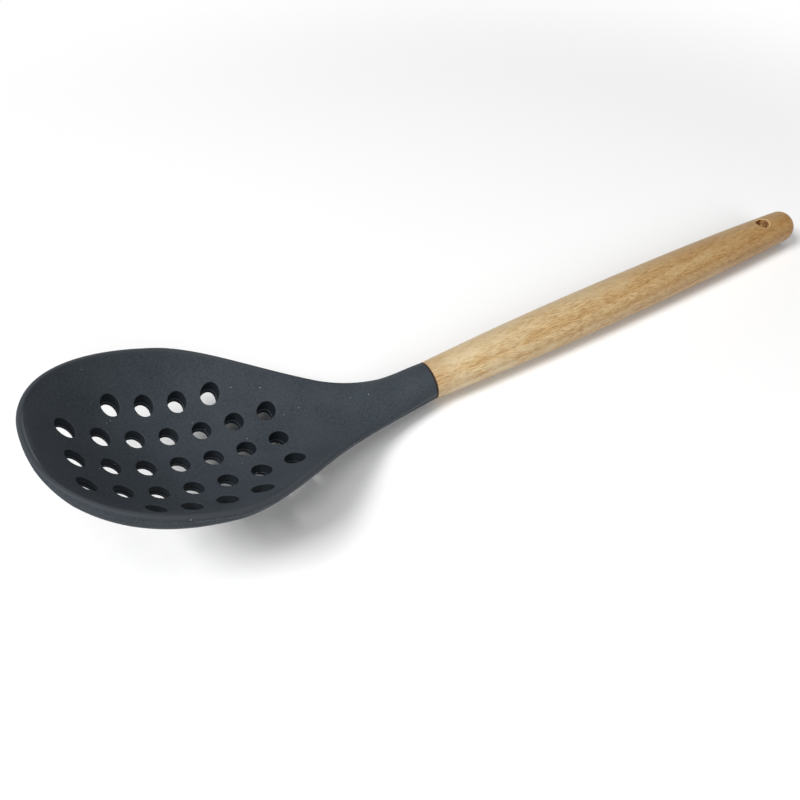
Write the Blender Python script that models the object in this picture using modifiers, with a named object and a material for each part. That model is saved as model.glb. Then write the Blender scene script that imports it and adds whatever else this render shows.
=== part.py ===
# Skimmer: a perforated silicone dish moulded over a nylon core, on a turned wooden handle.
# All sizes are in metres. The head is drawn in the plane of its rim: X runs from the tip
# to the handle, Y across, Z up out of the dish, with zero at the widest place of the rim.
# The whole is then tilted so that the handle lies level along X, as on a table.
import math

import bmesh
import bpy
import numpy as np

# Outline of the rim, seen from above
BOWL_WIDTH = 0.0877
TIP_REACH = 0.0571
TIP_BLUNTNESS = 2.30
SHOULDER_REACH = 0.0570
SHOULDER_FALL = 1.85
NECK_DIAMETER = 0.0167

# Dish
DISH_DEPTH = 0.0210
DEEPEST_BEFORE_WIDEST = 0.0060
RUN_OUT_LENGTH = 0.0865
SIDE_CURVE = 2.46
RIM_LIP = 0.0017
RIM_DROP = 0.0006
WALL = 0.0043
EDGE_WALL = 0.0025
KEEL_BEFORE_WIDEST = 0.0300

# Neck, which bends up out of the rim plane on an arc
NECK_START = 0.0600
NECK_BEND_RADIUS = 0.0860
NECK_ANGLE = math.radians(25.0)
COLLAR_LENGTH = 0.0080
ROUNDING_START = 0.0590

# Drain holes, stepped, all drilled square to the rim plane
HOLE_PITCH = 0.0130
ROW_PITCH = 0.0136
OUTER_ROW_PITCH = 0.0126
COLUMNS = 7
OUTER_COLUMNS = 4
HOLE_DIAMETER = 0.0075
DRAIN_DIAMETER = 0.0067
LEDGE_DEPTH = 0.0034

# Nylon core inside the silicone, and its tang in the handle
SILICONE_SKIN = 0.0008
HOLE_SKIN = 0.0010
RIM_COVER = 0.0050
NECK_SKIN = 0.0020
TANG_DIAMETER = 0.0080
TANG_LENGTH = 0.0500
GROOVE_COUNT = 4
GROOVE_DEPTH = 0.0006
GROOVE_WIDTH = 0.0030
TANG_CHAMFER = 0.0010
GLUE_LINE = 0.0006
CLEARANCE = 0.0003

# Turned handle
HANDLE_LENGTH = 0.2147
BELLY_DIAMETER = 0.0205
BELLY_FROM_JOINT = 0.0880
BUTT_DIAMETER = 0.0150
BUTT_TAPER = 2.5
BUTT_ROUNDING = 0.0050
HANG_HOLE_DIAMETER = 0.0067
HANG_HOLE_FROM_END = 0.0200
HANG_HOLE_COUNTERSINK = 0.0006

# Fineness of the facets
HEAD_STATIONS = 32
HEAD_ACROSS = 18
CORE_STATIONS = 20
CORE_ACROSS = 10
HOLE_SIDES = 12
CORE_HOLE_SIDES = 10
TURNED_SIDES = 24
BELLY_STEPS = 14
ROUNDING_STEPS = 5
STATION_CROWDING = 1.45
WELD = 1e-6

TIP = -TIP_REACH
BEND_END = NECK_START + NECK_BEND_RADIUS * NECK_ANGLE
JOINT_STATION = BEND_END + COLLAR_LENGTH
NECK_RADIUS = NECK_DIAMETER / 2
TANG_RADIUS = TANG_DIAMETER / 2


def smooth_step(value, start, end):
    share = np.clip((value - start) / (end - start), 0, 1)
    return share * share * (3 - 2 * share)


def half_width(station):
    """Half of the rim's width: a blunt oval nose, then a bell-shaped shoulder down to the neck."""
    widest = BOWL_WIDTH / 2
    ahead = np.clip(-station / TIP_REACH, 0, 1)
    nose = widest * (1 - ahead ** TIP_BLUNTNESS) ** (1 / TIP_BLUNTNESS)
    bell = np.exp(-((np.maximum(station, 0) / SHOULDER_REACH) ** SHOULDER_FALL))
    end_bell = math.exp(-((JOINT_STATION / SHOULDER_REACH) ** SHOULDER_FALL))
    shoulder = NECK_RADIUS + (widest - NECK_RADIUS) * (bell - end_bell) / (1 - end_bell)
    return np.where(station < 0, nose, shoulder)


def dish_depth(station):
    """Depth of the dish on its centre line, less than none under the lip, and how steeply it falls."""
    deepest = -DEEPEST_BEFORE_WIDEST
    front_run = deepest - TIP - RIM_LIP
    ahead = (deepest - station) / front_run
    behind = np.clip((station - deepest) / RUN_OUT_LENGTH, 0, 1)
    fade = np.sqrt(1 - behind ** 2)
    depth = DISH_DEPTH * np.where(ahead > 0, 1 - ahead ** 2, fade ** 3)
    front_fall = 2 * DISH_DEPTH * ahead / front_run
    back_fall = 3 * DISH_DEPTH * fade * behind / RUN_OUT_LENGTH
    return depth, np.where(ahead > 0, front_fall, back_fall)


def dish_height(station, across):
    """Height of the dish's upper surface, which is zero where it meets the lip."""
    depth, _ = dish_depth(station)
    inner = np.maximum(half_width(station) - RIM_LIP, WELD)
    return -depth * (1 - np.abs(across / inner) ** SIDE_CURVE)


def spine(station):
    """Place and slope of the rim line: straight along the dish, the neck's arc, then straight."""
    angle = np.clip((station - NECK_START) / NECK_BEND_RADIUS, 0, NECK_ANGLE)
    beyond = np.maximum(station - BEND_END, 0)
    along = np.minimum(station, NECK_START) + NECK_BEND_RADIUS * np.sin(angle) + beyond * np.cos(angle)
    up = NECK_BEND_RADIUS * (1 - np.cos(angle)) + beyond * np.sin(angle)
    return along, up, angle


def stand_up(station, across, rise):
    """Points of a ring, stood square to the spine at a station."""
    along, up, angle = spine(station)
    return np.stack([along - rise * math.sin(angle), across, up + rise * math.cos(angle)], axis=-1)


def ring_turn(count):
    """Angles of a round ring's points, in step with those of a dish section."""
    return math.pi - 2 * math.pi * (np.arange(count) + 1.5) / count


def section(station, layer, across_count):
    """One closed ring of the head: the dish's wall, blended into the round neck."""
    share = float(smooth_step(station, ROUNDING_START, JOINT_STATION))
    nose = TIP + layer["side"]
    stretched = TIP + (station - nose) * (JOINT_STATION - TIP) / (JOINT_STATION - nose)
    outline = max(float(half_width(stretched)) - layer["side"], 0)
    inner = max(float(half_width(station)) - RIM_LIP, WELD)
    depth, fall = dish_depth(station)
    fullness = float(half_width(station) / half_width(0)) ** 2
    wall = EDGE_WALL + (WALL - EDGE_WALL) * fullness
    keel = (NECK_RADIUS - wall) * float(smooth_step(station, -KEEL_BEFORE_WIDEST, JOINT_STATION))
    rise, depth = max(-depth, 0), max(depth, 0)
    spread = np.linspace(-1, 1, across_count)

    def wall_points(reach, edge_thickness, centre_extra):
        across = spread * reach
        share_out = np.abs(across / inner)
        height = -depth * (1 - share_out ** SIDE_CURVE)
        slope = depth * SIDE_CURVE * share_out ** (SIDE_CURVE - 1) / inner
        thickness = edge_thickness + centre_extra * (1 - spread ** 2)
        return np.stack([across, height - thickness * np.sqrt(1 + fall ** 2 + slope ** 2)], axis=1)

    lip = min(layer["lip"], outline)
    upper = wall_points(outline - lip, layer["skin"], 0)
    upper[:, 1] -= RIM_DROP * max(1 - (station - nose) / RIM_LIP, 0) ** 2
    lower = wall_points(outline, wall - layer["skin"], keel)[::-1]
    lower[:, 1] += rise
    rims = []
    for start, end in ((upper[-1], lower[0]), (lower[-1], upper[0])):
        corner = np.array([math.copysign(outline, start[0] + end[0]), max(start[1], end[1])])
        steps = np.array([[1 / 3], [2 / 3]])
        rims.append((1 - steps) ** 2 * start + 2 * steps * (1 - steps) * corner + steps ** 2 * end)
    dish = np.concatenate([upper, rims[0], lower, rims[1]])

    turn = ring_turn(len(dish))
    wide = float(half_width(station)) - layer["neck"]
    tall = NECK_RADIUS - layer["neck"]
    round_neck = np.stack([wide * np.cos(turn), tall * np.sin(turn)], axis=1)
    ring = (1 - share) * dish + share * round_neck
    return stand_up(station, ring[:, 0], ring[:, 1])


def disc(station, radius, count):
    """A round ring of the tang, square to the handle's axis."""
    turn = ring_turn(count)
    return stand_up(station, radius * np.cos(turn), radius * np.sin(turn))


def stations(layer, count, end):
    """Places of the sections from the layer's tip to an end, crowded at the blunt tip."""
    start = TIP + layer["side"]
    return start + (end - start) * np.linspace(0, 1, count) ** STATION_CROWDING


# Each layer of the head: how far its edge and its faces lie inside the silicone's own
SILICONE = {"side": 0, "lip": RIM_LIP, "skin": 0, "neck": 0}
CAVITY = {"side": RIM_COVER - CLEARANCE, "lip": 0, "skin": SILICONE_SKIN, "neck": NECK_SKIN}
CORE = {"side": RIM_COVER, "lip": 0, "skin": SILICONE_SKIN + CLEARANCE, "neck": NECK_SKIN + CLEARANCE}


def add_object(name, mesh, collection):
    thing = bpy.data.objects.new(name, mesh)
    collection.objects.link(thing)
    return thing


def loft(name, bundles, collection):
    """Closed solids, each through a bundle of rings of equal count and capped at both ends."""
    sculpt = bmesh.new()
    for rings in bundles:
        rows = [[sculpt.verts.new(point) for point in ring] for ring in rings]
        for row, following in zip(rows, rows[1:]):
            for index in range(len(row)):
                after = (index + 1) % len(row)
                sculpt.faces.new((row[index], row[after], following[after], following[index]))
        sculpt.faces.new(rows[0])
        sculpt.faces.new(rows[-1])
    bmesh.ops.remove_doubles(sculpt, verts=sculpt.verts, dist=WELD)
    bmesh.ops.dissolve_degenerate(sculpt, edges=sculpt.edges, dist=WELD)
    bmesh.ops.recalc_face_normals(sculpt, faces=sculpt.faces)
    mesh = bpy.data.meshes.new(name)
    sculpt.to_mesh(mesh)
    sculpt.free()
    return add_object(name, mesh, collection)


def turned(name, profile, collection):
    """A solid turned on Z from a profile of radius and height that runs down its outer side."""
    mesh = bpy.data.meshes.new(name)
    edges = [(index, index + 1) for index in range(len(profile) - 1)]
    mesh.from_pydata([(radius, 0, height) for radius, height in profile], edges, [])
    thing = add_object(name, mesh, collection)
    screw = thing.modifiers.new("turn", "SCREW")
    screw.steps = TURNED_SIDES
    screw.render_steps = TURNED_SIDES
    screw.use_merge_vertices = True
    screw.merge_threshold = WELD
    return thing


def drill(along, across, profile, sides):
    """Rings of an upright drill at a hole's place, for a profile of radius and height."""
    turn = 2 * math.pi * np.arange(sides) / sides
    circle = np.stack([np.cos(turn), np.sin(turn), 0 * turn], axis=1)
    return [radius * circle + (along, across, height) for radius, height in profile]


def cut(thing, cutter):
    difference = thing.modifiers.new(cutter.name, "BOOLEAN")
    difference.operation = "DIFFERENCE"
    difference.solver = "EXACT"
    difference.object = cutter


def finish(thing, colour, roughness):
    """Smooth shading, and the piece's own material."""
    material = bpy.data.materials.new(thing.name)
    material.use_nodes = True
    shader = material.node_tree.nodes["Principled BSDF"]
    shader.inputs["Base Color"].default_value = (*colour, 1)
    shader.inputs["Roughness"].default_value = roughness
    shader.inputs["Metallic"].default_value = 0
    thing.data.materials.append(material)
    thing.data.shade_smooth()


def hole_places():
    """Three full rows of holes, and an outer row on each side set half a pitch over."""
    outer = ROW_PITCH + OUTER_ROW_PITCH
    rows = [(across, COLUMNS) for across in (-ROW_PITCH, 0, ROW_PITCH)]
    rows += [(across, OUTER_COLUMNS) for across in (-outer, outer)]
    return [
        ((column - (count - 1) / 2) * HOLE_PITCH, across)
        for across, count in rows
        for column in range(count)
    ]


def straight_drills(radius):
    profile = [(radius, DISH_DEPTH), (radius, -2 * DISH_DEPTH)]
    return [drill(along, across, profile, CORE_HOLE_SIDES) for along, across in hole_places()]


def stepped_drills():
    """Drills that leave a ledge in each hole, which slopes as the dish does round the hole."""
    wide, narrow = HOLE_DIAMETER / 2, DRAIN_DIAMETER / 2
    drills = []
    for along, across in hole_places():
        ledge = float(dish_height(along, across)) - LEDGE_DEPTH
        profile = [(wide, DISH_DEPTH), (wide, ledge), (narrow, ledge), (narrow, -2 * DISH_DEPTH)]
        rings = drill(along, across, profile, HOLE_SIDES)
        climb_along = dish_height(along + wide, across) - dish_height(along - wide, across)
        climb_across = dish_height(along, across + wide) - dish_height(along, across - wide)
        for ring in rings[1:3]:
            offset = ring[:, 0] - along, ring[:, 1] - across
            ring[:, 2] += (climb_along * offset[0] + climb_across * offset[1]) / HOLE_DIAMETER
        drills.append(rings)
    return drills


def tang_profile(spare):
    """The tang's outer side from its end to the joint, as radius and distance from the joint."""
    radius = TANG_RADIUS + spare
    points = [(radius - TANG_CHAMFER, TANG_LENGTH + spare), (radius, TANG_LENGTH + spare - TANG_CHAMFER)]
    spacing = TANG_LENGTH / (GROOVE_COUNT + 1)
    for groove in range(GROOVE_COUNT, 0, -1):
        middle = groove * spacing
        half = GROOVE_WIDTH / 2
        points.append((radius, middle + half))
        points.append((radius - GROOVE_DEPTH, middle + half - GROOVE_DEPTH))
        points.append((radius - GROOVE_DEPTH, middle - half + GROOVE_DEPTH))
        points.append((radius, middle - half))
    return points


def make_core(parts, cutters):
    places = stations(CORE, CORE_STATIONS, JOINT_STATION)
    rings = [section(place, CORE, CORE_ACROSS) for place in places]
    count = len(rings[0])
    rings.append(disc(JOINT_STATION, TANG_RADIUS, count))
    rings += [disc(JOINT_STATION + height, radius, count) for radius, height in reversed(tang_profile(0))]
    core = loft("nylon_core", [rings], parts)
    radius = HOLE_DIAMETER / 2 + HOLE_SKIN + CLEARANCE
    cut(core, loft("core_hole_cutters", straight_drills(radius), cutters))
    finish(core, (0.030, 0.031, 0.034), 0.45)
    return core


def make_head(parts, cutters):
    places = stations(SILICONE, HEAD_STATIONS, JOINT_STATION)
    rings = [section(place, SILICONE, HEAD_ACROSS) for place in places]
    head = loft("silicone_head", [rings], parts)
    places = stations(CAVITY, CORE_STATIONS, JOINT_STATION + NECK_SKIN)
    rings = [section(place, CAVITY, CORE_ACROSS) for place in places]
    cavity = loft("core_cavity_cutter", [rings], cutters)
    cut(cavity, loft("hole_lining_posts", straight_drills(HOLE_DIAMETER / 2 + HOLE_SKIN), cutters))
    cut(head, cavity)
    cut(head, loft("stepped_hole_cutters", stepped_drills(), cutters))
    finish(head, (0.042, 0.050, 0.062), 0.6)
    return head


def handle_radius(distance):
    """Radius of the handle: flush with the neck, swelling to a belly, then slimming to the butt."""
    belly = BELLY_DIAMETER / 2
    if distance < BELLY_FROM_JOINT:
        return belly - (belly - NECK_RADIUS) * (1 - distance / BELLY_FROM_JOINT) ** 2
    share = (distance - BELLY_FROM_JOINT) / (HANDLE_LENGTH - BELLY_FROM_JOINT)
    return belly - (belly - BUTT_DIAMETER / 2) * share ** BUTT_TAPER


def bore_radius():
    return TANG_RADIUS + GLUE_LINE + 2 * CLEARANCE


def make_handle(parts, cutters):
    shoulder = HANDLE_LENGTH - BUTT_ROUNDING
    profile = [(0, HANDLE_LENGTH)]
    for step in range(ROUNDING_STEPS + 1):
        angle = math.pi / 2 * (1 - step / ROUNDING_STEPS)
        edge = handle_radius(shoulder) - BUTT_ROUNDING
        profile.append((edge + BUTT_ROUNDING * math.cos(angle), shoulder + BUTT_ROUNDING * math.sin(angle)))
    for distance in np.linspace(shoulder, CLEARANCE, BELLY_STEPS + 1)[1:]:
        profile.append((handle_radius(distance), float(distance)))
    bore_end = TANG_LENGTH + GLUE_LINE + 2 * CLEARANCE
    profile += [(bore_radius(), CLEARANCE), (bore_radius(), bore_end), (0, bore_end)]
    handle = turned("wooden_handle", profile, parts)

    place = HANDLE_LENGTH - HANG_HOLE_FROM_END
    crest = handle_radius(place)
    hole = HANG_HOLE_DIAMETER / 2
    flare = hole + HANG_HOLE_COUNTERSINK + crest
    bevel_start = crest - HANG_HOLE_COUNTERSINK
    upper_half = [(0, 2 * crest), (flare, 2 * crest), (hole, bevel_start)]
    drill = upper_half + [(radius, -height) for radius, height in reversed(upper_half)]
    cutter = turned("hang_hole_cutter", drill, cutters)
    cutter.parent = handle
    cutter.location = (0, 0, place)
    cutter.rotation_euler = (0, math.pi / 2, 0)
    cut(handle, cutter)
    finish(handle, (0.560, 0.365, 0.180), 0.5)
    return handle


def make_glue(parts):
    """Cured glue that fills the bore round the grooved tang, as a cup closed over its end."""
    start = 2 * CLEARANCE
    outer = TANG_RADIUS + CLEARANCE + GLUE_LINE
    end = TANG_LENGTH + CLEARANCE + GLUE_LINE
    inside = [(radius, height) for radius, height in reversed(tang_profile(CLEARANCE))]
    profile = [(0, end), (outer, end), (outer, start), (inside[0][0], start), *inside, (0, inside[-1][1])]
    glue = turned("epoxy_bond", profile, parts)
    finish(glue, (0.620, 0.520, 0.330), 0.35)
    return glue


def set_down(root, parts):
    """Stands the lowest point of the skimmer at zero, and centres it over the origin."""
    bpy.context.view_layer.update()
    graph = bpy.context.evaluated_depsgraph_get()
    points = []
    for thing in parts.objects:
        if thing.type != "MESH":
            continue
        mesh = thing.evaluated_get(graph).to_mesh()
        corners = np.empty(len(mesh.vertices) * 3)
        mesh.vertices.foreach_get("co", corners)
        corners = corners.reshape(-1, 3)
        turn = np.array(thing.matrix_world)
        points.append(corners @ turn[:3, :3].T + turn[:3, 3])
    points = np.concatenate(points)
    low, high = points.min(axis=0), points.max(axis=0)
    root.location = (-(low[0] + high[0]) / 2, -(low[1] + high[1]) / 2, -low[2])


def main():
    for thing in list(bpy.data.objects):
        bpy.data.objects.remove(thing)
    parts = bpy.data.collections.new("skimmer")
    cutters = bpy.data.collections.new("skimmer_cutters")
    bpy.context.scene.collection.children.link(parts)
    bpy.context.scene.collection.children.link(cutters)

    root = add_object("rim_plane", None, parts)
    joint = add_object("handle_axis", None, parts)
    joint.parent = root
    along, up, angle = spine(JOINT_STATION)
    joint.location = (float(along), 0, float(up))
    joint.rotation_euler = (0, math.pi / 2 - float(angle), 0)

    for piece in (make_head(parts, cutters), make_core(parts, cutters)):
        piece.parent = root
    for piece in (make_handle(parts, cutters), make_glue(parts)):
        piece.parent = joint
    for cutter in cutters.objects:
        if cutter.parent is None:
            cutter.parent = root
        cutter.hide_render = True
        cutter.display_type = "WIRE"
    root.rotation_euler = (0, NECK_ANGLE, 0)
    set_down(root, parts)


main()
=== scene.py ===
import math

import bmesh
import bpy
import numpy as np
from mathutils import Matrix, Vector
from mathutils.geometry import delaunay_2d_cdt


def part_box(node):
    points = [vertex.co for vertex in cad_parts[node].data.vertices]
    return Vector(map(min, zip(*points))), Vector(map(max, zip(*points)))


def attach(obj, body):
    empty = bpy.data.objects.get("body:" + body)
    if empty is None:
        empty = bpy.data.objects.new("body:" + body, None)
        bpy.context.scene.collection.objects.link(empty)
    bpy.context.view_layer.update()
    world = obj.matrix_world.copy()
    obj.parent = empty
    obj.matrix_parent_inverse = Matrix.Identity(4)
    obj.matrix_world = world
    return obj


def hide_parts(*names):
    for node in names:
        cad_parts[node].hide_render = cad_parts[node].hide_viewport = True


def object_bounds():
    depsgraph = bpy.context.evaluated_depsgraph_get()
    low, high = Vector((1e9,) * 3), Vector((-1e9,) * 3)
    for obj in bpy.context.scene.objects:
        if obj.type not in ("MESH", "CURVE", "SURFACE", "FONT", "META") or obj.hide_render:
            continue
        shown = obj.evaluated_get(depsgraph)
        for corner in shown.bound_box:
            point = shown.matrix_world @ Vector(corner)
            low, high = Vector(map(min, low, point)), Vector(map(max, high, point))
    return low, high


mm = 0.001
weldDistance = 0.002 * mm
sharpAngle = math.radians(40)  # edges that bend more than this stay crisp

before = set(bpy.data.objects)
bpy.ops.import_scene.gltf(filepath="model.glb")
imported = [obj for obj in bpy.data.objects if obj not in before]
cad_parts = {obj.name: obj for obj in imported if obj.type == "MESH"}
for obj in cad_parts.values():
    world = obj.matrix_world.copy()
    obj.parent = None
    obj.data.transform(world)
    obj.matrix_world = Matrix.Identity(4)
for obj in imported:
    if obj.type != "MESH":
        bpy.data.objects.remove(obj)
cadLow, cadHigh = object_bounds()
handleLow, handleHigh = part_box("wooden_handle")
print("frame loaded, CAD box", tuple(cadLow), tuple(cadHigh))


# Small tools for all pieces

def smoothStep(value, start, end):  # 3t² - 2t³ for the share t of the way from start to end
    share = np.clip((value - start) / (end - start), 0, 1)
    return share * share * (3 - 2 * share)


def quadBezier(first, corner, last, count):
    # (1-t)² first + 2t(1-t) corner + t² last, for even steps of t on a new last-but-one axis
    t = np.linspace(0, 1, count)[:, None]
    first, corner, last = (np.asarray(point)[..., None, :] for point in (first, corner, last))
    return (1 - t) ** 2 * first + 2 * t * (1 - t) * corner + t ** 2 * last


def turns(count):  # even angles once round
    return 2 * math.pi * np.arange(count) / count


def circles(centres, radius, count):  # centre + radius (cos, sin) for each centre and each angle
    turn = turns(count)
    return centres[:, None] + radius * np.stack([np.cos(turn), np.sin(turn)], axis=1)


def gridFaces(rows, columns, closed):  # quads of a grid; closed joins its last column to its first
    acrossCount = columns if closed else columns - 1
    row, column = np.meshgrid(np.arange(rows - 1), np.arange(acrossCount), indexing="ij")
    after = (column + 1) % columns
    corners = (row * columns + column, row * columns + after,
               (row + 1) * columns + after, (row + 1) * columns + column)
    return np.stack([corner.ravel() for corner in corners], axis=1)


class Surface:  # patches of points and faces, gathered for one mesh; a finish is a place among its materials
    def __init__(self):
        self.points, self.faces, self.finishes, self.count = [], [], [], 0

    def add(self, points, faces, finish=0):
        points = np.asarray(points, float).reshape(-1, 3)
        self.points.append(points)
        self.faces.extend((np.asarray(faces) + self.count).tolist())
        self.finishes.extend(np.broadcast_to(finish, len(faces)).tolist())
        self.count += len(points)

    def piece(self, name):
        mesh = bpy.data.meshes.new(name)
        mesh.from_pydata(np.concatenate(self.points).tolist(), [], self.faces)
        mesh.polygons.foreach_set("material_index", self.finishes)
        sculpt = bmesh.new()
        sculpt.from_mesh(mesh)
        bmesh.ops.remove_doubles(sculpt, verts=sculpt.verts, dist=weldDistance)
        bmesh.ops.dissolve_degenerate(sculpt, edges=sculpt.edges, dist=weldDistance)
        bmesh.ops.recalc_face_normals(sculpt, faces=sculpt.faces)
        openEdges = sum(len(edge.link_faces) != 2 for edge in sculpt.edges)
        sculpt.to_mesh(mesh)
        sculpt.free()
        mesh.shade_smooth()
        mesh.set_sharp_from_angle(angle=sharpAngle)
        thing = bpy.data.objects.new(name, mesh)
        bpy.context.scene.collection.objects.link(thing)
        mesh.calc_loop_triangles()
        print(name, len(mesh.loop_triangles), "triangles,", openEdges, "open edges")
        return thing


def insideLoop(points, loop):  # counts how often a ray along x crosses the loop
    start, end = loop, np.roll(loop, -1, axis=0)
    x, y = points[:, 0, None], points[:, 1, None]
    spans = (start[:, 1] > y) != (end[:, 1] > y)
    rise = np.where(end[:, 1] == start[:, 1], 1, end[:, 1] - start[:, 1])
    crossing = start[:, 0] + (y - start[:, 1]) * (end[:, 0] - start[:, 0]) / rise
    return ((spans & (x < crossing)).sum(axis=1) % 2).astype(bool)


def perforatedSheet(edge, rings, spacing, keepClear):
    # A flat sheet inside a closed edge loop, triangulated round holes. Each of the rings is a set of circles
    # of one size, shaped (holes, points, 2): the first set is the holes' own edges, the rest only guide the mesh.
    # The fill is a grid of equal triangles, less the points that come too near to an edge or a ring.
    holeCount, around, _ = rings[0].shape
    low, high = edge.min(axis=0), edge.max(axis=0)
    rowStep = spacing * math.sqrt(3) / 2
    acrossCount, alongCount = ((high - low) / (rowStep, spacing)).astype(int) + 2
    rowIndex, columnIndex = np.meshgrid(np.arange(acrossCount), np.arange(alongCount), indexing="ij")
    fillX = low[0] + rowIndex * rowStep
    fillY = low[1] + (columnIndex + rowIndex % 2 / 2) * spacing
    fill = np.stack([fillX, fillY], axis=-1).reshape(-1, 2)
    middles = rings[0].mean(axis=1)
    reach = np.linalg.norm(rings[-1] - middles[:, None], axis=2).max(axis=1)
    gaps = np.linalg.norm(fill[:, None] - middles[None], axis=2) - reach
    edgeGaps = np.linalg.norm(fill[:, None] - edge[None], axis=2).min(axis=1)
    fill = fill[(gaps.min(axis=1) > keepClear) & (edgeGaps > keepClear) & insideLoop(fill, edge)]

    guides = np.concatenate([ring.reshape(-1, 2) for ring in rings])
    points = np.concatenate([edge, guides, fill])
    loop, circle = np.arange(len(edge)), np.arange(around)
    edgeLines = np.stack([loop, np.roll(loop, -1)], axis=1)
    holeLines = np.stack([circle, np.roll(circle, -1)], axis=1)
    holeLines = (len(edge) + np.arange(holeCount)[:, None, None] * around + holeLines).reshape(-1, 2)
    lines = np.concatenate([edgeLines, holeLines]).tolist()
    wholeHull, tolerance = 0, 1e-6
    found, _, triangles, *_ = delaunay_2d_cdt([Vector(point) for point in points], lines, [], wholeHull, tolerance)
    flat = np.array([tuple(point) for point in found])
    triangles = np.array(triangles)
    centres = flat[triangles].mean(axis=1)
    keep = insideLoop(centres, edge)
    for ring in rings[0]:
        keep &= ~insideLoop(centres, ring)
    return flat, triangles[keep]


# Head, drawn in millimetres in the plane of its rim: x from the tip to the handle, y across,
# z up out of the dish, with zero at the rim's widest place

head = {
    # outline of the rim
    "width": 87.7, "tipReach": 57.1, "tipBluntness": 2.3,
    "shoulderReach": 57.0, "shoulderFall": 1.85, "neckRadius": 8.35,
    # the dish, its wall and its lip
    "depth": 21.0, "deepestAt": -6.0, "runOut": 86.5, "sideCurve": 2.46,
    "wall": 4.1, "edgeWall": 2.5, "keelStart": -30.0,
    "lip": 1.7, "tipLip": 2.5, "lipFlat": 0.4, "lipRounding": 1.0,
    "tipDrop": 0.45, "tipDropRun": 14.0,  # how far the lip sinks at the very tip
    # how much deeper the outer wall is beside the tip than beside the neck, and where that comes, turns and goes
    "skirt": 1.7, "skirtStart": (-56, -46), "skirtTurn": (-40, 20), "skirtEnd": (20, 45),
    # the share of the outer wall that curves into the underside, and the step that the slope there is taken over
    "runInShare": 0.4, "slopeStep": 0.6,
    # line where the two halves of the mould met: its place down the outer wall, its section as shares of
    # the height outwards and of half the width downwards, and the station from which it carries a painted
    # highlight
    "beadShare": 0.32, "beadHeight": 0.08, "beadWidth": 0.36, "neckBead": 0.15, "lineHighlightStart": -15.0,
    "beadShape": ((0, -1), (0.6, -0.6), (1, 0), (0.6, 0.6), (0, 1)),
    # the neck, and how far round its ellipse the faces of the dish reach
    "neckStart": 60.0, "bendRadius": 86.0, "neckAngle": math.radians(25), "collar": 8.0, "roundingStart": 59.0,
    "faceTurn": math.radians(76.5), "jointGap": 0.3, "jointRounding": 0.22,
    # the mesh: where the neck's loft takes over from the sheets, insets of the sheets from the outline, and steps
    "sheetEnd": 47.0, "squareRun": 22.0, "upperInset": 1.95, "lowerInset": 2.6, "leastWidth": 0.01,
    "outlineStep": 1.1, "sheetSpacing": 1.15, "sheetClear": 0.6, "acrossCount": 45, "neckRows": 70,
    "noseSteps": 4000, "shoulderSteps": 2000, "filletSteps": 6, "lipSteps": 7, "runInSteps": 9,
    "endSteps": 5, "endRings": (0.8, 0.45, 0),
}
holes = {
    "pitch": 13.0, "rowPitch": 13.6, "outerRowPitch": 12.6, "columns": 7, "outerColumns": 4,
    "radius": 3.75, "drainRadius": 3.4, "ledgeShare": 0.74, "ledgeBevel": 0.08,  # the ledge is low in the wall
    "ledgeGuide": 8,  # bevels from the ledge up to the ring that keeps it crisp
    "upperRounding": 0.25, "lowerRounding": 0.3, "around": 48, "roundingSteps": 6,
    "upperGuides": (0.55, 1.3), "lowerGuides": (0.6, 1.4),  # rings of the mesh outside a hole's edge
    "shadeStrips": (5, 6, 9),  # strips of a hole's wall that are off a pin and take a painted shade: two of the wide wall, one of the drain
}
faceFinish, shadedWallFinish, lineHighlightFinish = range(3)  # the order of the head's materials
bendEnd = head["neckStart"] + head["bendRadius"] * head["neckAngle"]
jointStation = bendEnd + head["collar"]
widest = head["width"] / 2
beadRow = head["filletSteps"] + head["lipSteps"] + len(head["beadShape"]) // 2  # of the rim's section


def rimHalfWidth(x):  # nose: (x/reach)^n + (y/widest)^n = 1; then a bell curve that falls to the neck's radius
    n = head["tipBluntness"]
    ahead = np.clip(-x / head["tipReach"], 0, 1)
    nose = widest * (1 - ahead ** n) ** (1 / n)
    bell = np.exp(-(np.maximum(x, 0) / head["shoulderReach"]) ** head["shoulderFall"])
    endBell = math.exp(-(jointStation / head["shoulderReach"]) ** head["shoulderFall"])
    shoulder = head["neckRadius"] + (widest - head["neckRadius"]) * (bell - endBell) / (1 - endBell)
    return np.where(x < 0, nose, shoulder)


def dishDepth(x):
    # Depth on the centre line and its slope: a parabola from the lip of the tip to the deepest place, then
    # (1 - b²)^1.5 for the share b of the way out to the neck
    frontRun = head["deepestAt"] + head["tipReach"] - head["tipLip"]
    ahead = (head["deepestAt"] - x) / frontRun
    behind = np.clip((x - head["deepestAt"]) / head["runOut"], 0, 1)
    fade = np.sqrt(1 - behind ** 2)
    depth = np.where(ahead > 0, head["depth"] * np.maximum(1 - ahead ** 2, 0), head["depth"] * fade ** 3)
    frontFall = 2 * head["depth"] * ahead / frontRun
    backFall = 3 * head["depth"] * fade * behind / head["runOut"]
    return depth, np.where(ahead > 0, frontFall, backFall)


def upperHeight(x, y):  # minus the depth on the centre line, times 1 - |y/half width|^curve
    inner = np.maximum(rimHalfWidth(x) - head["lip"], head["leastWidth"])
    return -dishDepth(x)[0] * (1 - np.abs(y / inner) ** head["sideCurve"])


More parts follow.
